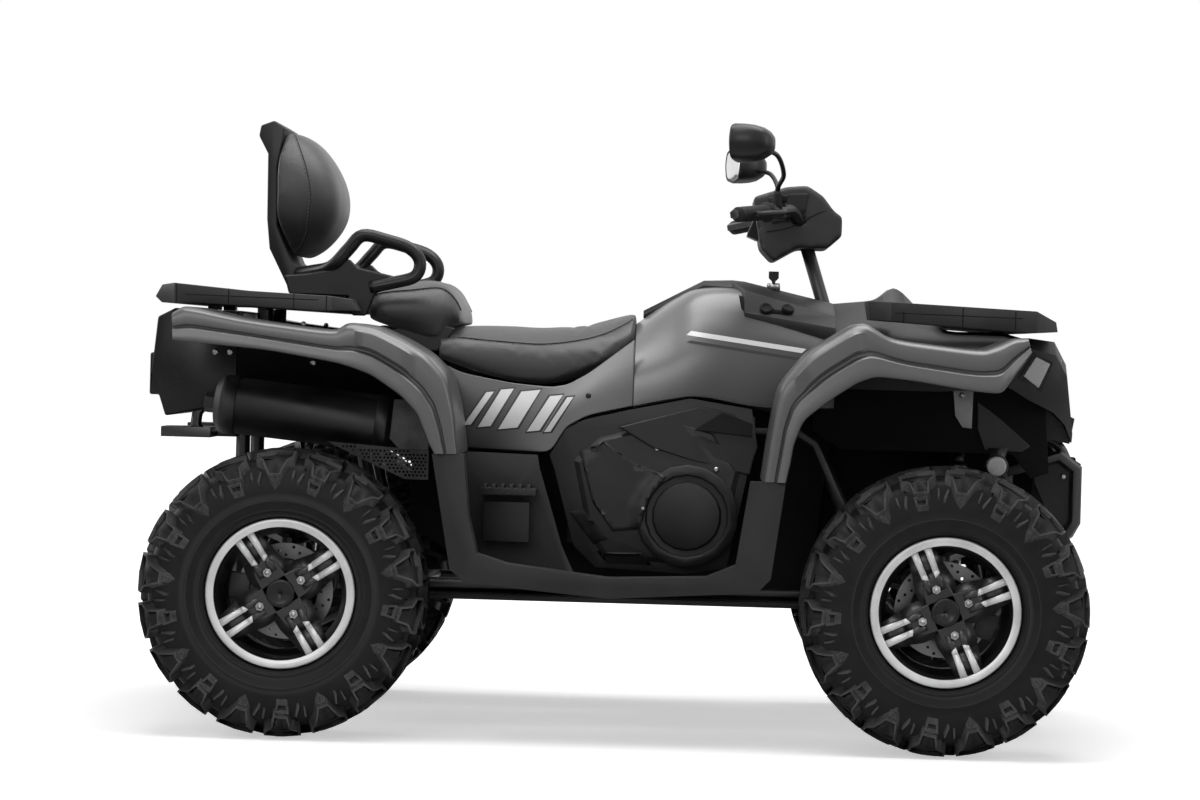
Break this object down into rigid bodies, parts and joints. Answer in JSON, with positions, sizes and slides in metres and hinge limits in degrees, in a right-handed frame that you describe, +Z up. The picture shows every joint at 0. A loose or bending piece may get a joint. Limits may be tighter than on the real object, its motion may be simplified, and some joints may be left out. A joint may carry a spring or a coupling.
{
  "type": "quad bike",
  "caption": "All-terrain quad bike with lugged tyres, front and rear racks, footwells, a two-up seat with backrest, and handlebar steering",
  "frame": {"origin": "on the ground, under the middle of the bounding box", "axes": "+X forward, +Y to the rider's left, +Z up"},
  "size_m": [2.1849, 1.18, 1.4124],
  "materials": {
    "tyre": "moulded rubber",
    "alloy": "black coat with machined faces",
    "silver_paint": "satin metallic",
    "black_plastic": "fine grained",
    "frame_paint": "semi-gloss black",
    "cast_alloy": "as cast",
    "seat_cover": "stitched vinyl",
    "grip_rubber": "ribbed",
    "lens": "clear",
    "tail_lens": "smoked",
    "mirror": "polished",
    "steel": "brushed",
    "spring_paint": "gloss"
  },
  "bodies": {
    "chassis": {"arch_liners": "black_plastic", "backrest_pad": "seat_cover", "backrest_shell": "black_plastic", "driver_seat": "seat_cover", "engine": "cast_alloy", "engine_covers": "black_plastic", "final_drives": "cast_alloy", "footwells": "black_plastic", "frame": "frame_paint", "front_arms": "frame_paint", "front_bumper": "frame_paint", "front_fascia": "black_plastic", "front_fenders": "silver_paint", "front_rack": "black_plastic", "grab_handles": "black_plastic", "half_shafts": "frame_paint", "headlamps": "lens", "heat_shields": "steel", "hood": "black_plastic", "passenger_seat": "seat_cover", "rear_arms": "frame_paint", "rear_fenders": "silver_paint", "rear_hub_carriers": "cast_alloy", "rear_rack": "black_plastic", "rear_tubes": "frame_paint", "shock_absorbers": "spring_paint", "side_panels": "silver_paint", "silencer": "steel", "skid_plate": "cast_alloy", "tail_lamps": "tail_lens", "tail_panel": "black_plastic", "tank_cover": "silver_paint", "tank_trim": "black_plastic", "tow_bar": "frame_paint"},
    "steering": {"steering_stem": "frame_paint", "handlebar": "frame_paint", "grips": "grip_rubber", "bar_cowl": "black_plastic", "levers": "frame_paint", "mirrors": "black_plastic", "mirror_glass": "mirror"},
    "knuckle_left": {"knuckle_left": "cast_alloy"},
    "knuckle_right": {"knuckle_right": "cast_alloy"},
    "tie_rod_left": {"tie_rod_left": "frame_paint"},
    "tie_rod_right": {"tie_rod_right": "frame_paint"},
    "wheel_front_left": {"tyre_front_left": "tyre", "rim_front_left": "alloy"},
    "wheel_front_right": {"tyre_front_right": "tyre", "rim_front_right": "alloy"},
    "wheel_rear_left": {"tyre_rear_left": "tyre", "rim_rear_left": "alloy"},
    "wheel_rear_right": {"tyre_rear_right": "tyre", "rim_rear_right": "alloy"}
  },
  "joints": [
    {"name": "steering_turn", "type": "hinge", "parent": "chassis", "child": "steering", "pos_m": [0.6831, 0, 0.39152], "axis": [-0.3057, 0, 0.9521], "range_deg": [-38, 38]},
    {"name": "kingpin_left", "type": "hinge", "parent": "chassis", "child": "knuckle_left", "pos_m": [0.7545, 0.4, 0.326], "axis": [0, 0, 1], "range_deg": [-32.5, 32.5]},
    {"name": "tie_rod_pivot_left", "type": "hinge", "parent": "steering", "child": "tie_rod_left", "pos_m": [0.62121, 0.0184, 0.37165], "axis": [-0.3057, 0, 0.9521], "range_deg": [-38, 38]},
    {"name": "spin_front_left", "type": "hinge", "parent": "knuckle_left", "child": "wheel_front_left", "pos_m": [0.7545, 0.48, 0.326], "axis": [0, 1, 0], "continuous": true},
    {"name": "spin_rear_left", "type": "hinge", "parent": "chassis", "child": "wheel_rear_left", "pos_m": [-0.7355, 0.463, 0.326], "axis": [0, 1, 0], "continuous": true},
    {"name": "kingpin_right", "type": "hinge", "parent": "chassis", "child": "knuckle_right", "pos_m": [0.7545, -0.4, 0.326], "axis": [0, 0, 1], "range_deg": [-32.5, 32.5]},
    {"name": "tie_rod_pivot_right", "type": "hinge", "parent": "steering", "child": "tie_rod_right", "pos_m": [0.62121, -0.0184, 0.37165], "axis": [-0.3057, 0, 0.9521], "range_deg": [-38, 38]},
    {"name": "spin_front_right", "type": "hinge", "parent": "knuckle_right", "child": "wheel_front_right", "pos_m": [0.7545, -0.48, 0.326], "axis": [0, 1, 0], "continuous": true},
    {"name": "spin_rear_right", "type": "hinge", "parent": "chassis", "child": "wheel_rear_right", "pos_m": [-0.7355, -0.463, 0.326], "axis": [0, 1, 0], "continuous": true}
  ],
  "couplings": [
    {"joint": "kingpin_left", "follows": "steering_turn", "ratio": 0.85},
    {"joint": "tie_rod_pivot_left", "follows": "steering_turn", "ratio": -1},
    {"joint": "kingpin_right", "follows": "steering_turn", "ratio": 0.85},
    {"joint": "tie_rod_pivot_right", "follows": "steering_turn", "ratio": -1}
  ]
}
